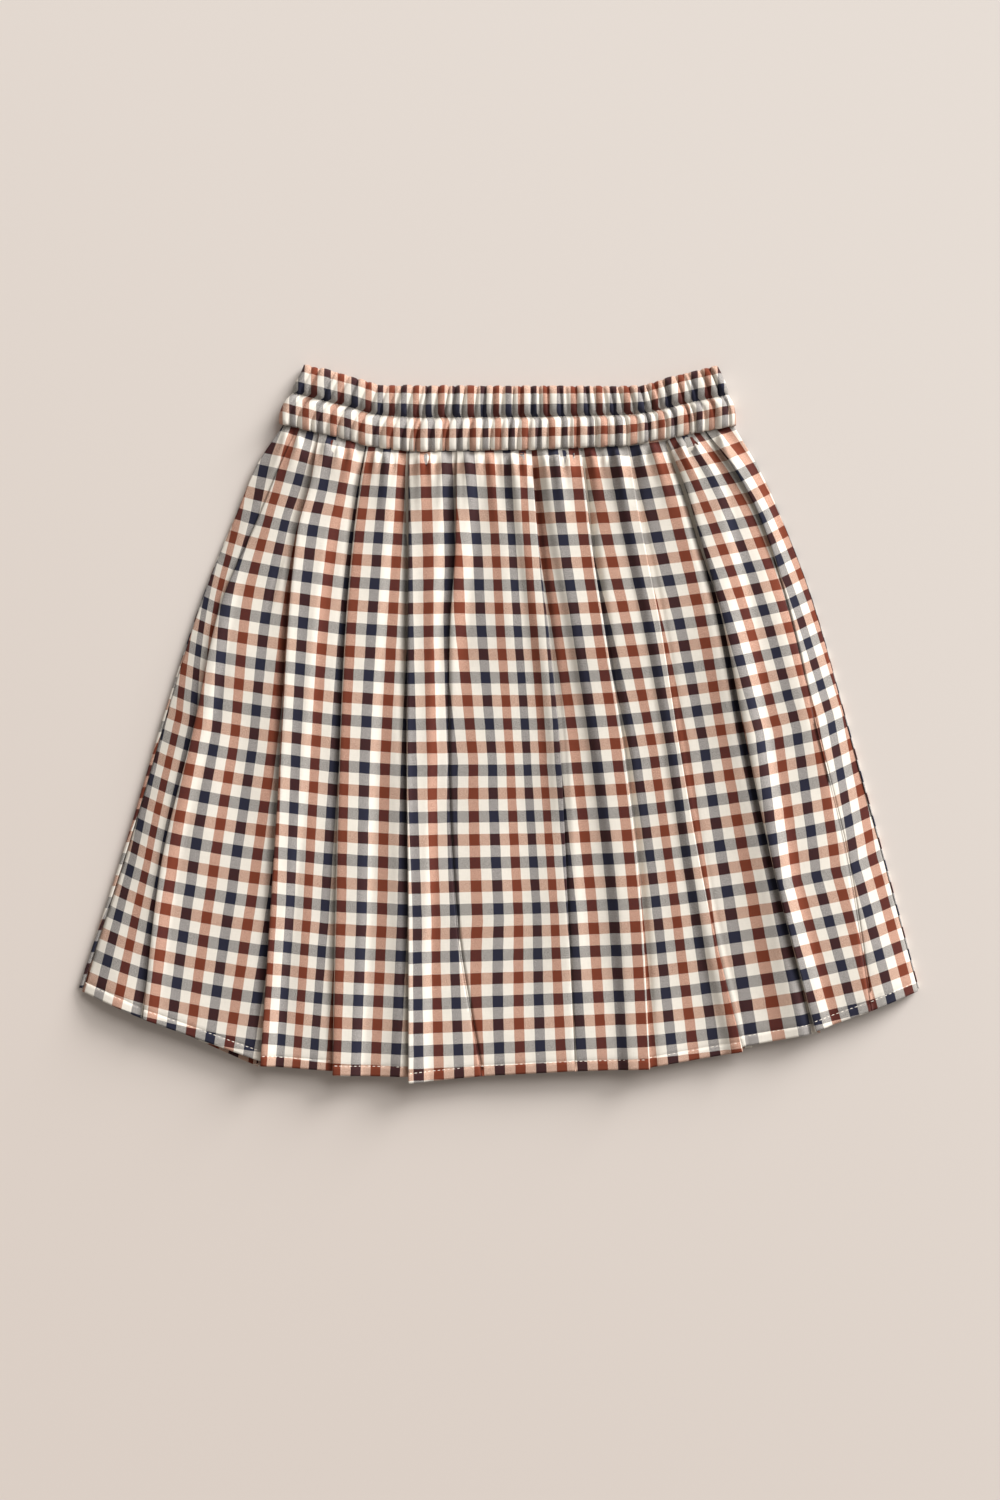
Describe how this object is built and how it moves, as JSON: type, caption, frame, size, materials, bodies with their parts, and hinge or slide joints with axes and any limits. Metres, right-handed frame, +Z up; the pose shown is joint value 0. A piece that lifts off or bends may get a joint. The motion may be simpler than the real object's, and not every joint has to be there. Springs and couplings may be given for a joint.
{
  "type": "skort",
  "caption": "Flared, gathered skort of checked cotton with a shirred elastic waistband and plain inner shorts, laid flat with its folds.",
  "frame": {"origin": "middle of the underside's bounding box, on the table that the skort lies on", "axes": "+X to the viewer's right along the hem's width, +Y from the hem to the waistband, +Z up from the table through the cloth"},
  "size_m": [0.6012, 0.512, 0.0135],
  "materials": {
    "checked_cotton": "matt woven cotton, a check of navy, cream and rust",
    "waistband_cotton": "the same checked cotton drawn up over elastic",
    "plain_cotton": "matt plain cream cotton"
  },
  "bodies": {
    "root": {"front_panel": "checked_cotton", "back_panel": "checked_cotton", "waistband_front": "waistband_cotton", "waistband_back": "waistband_cotton", "shorts_front_left": "plain_cotton", "shorts_front_right": "plain_cotton", "shorts_back_left": "plain_cotton", "shorts_back_right": "plain_cotton"}
  },
  "joints": []
}
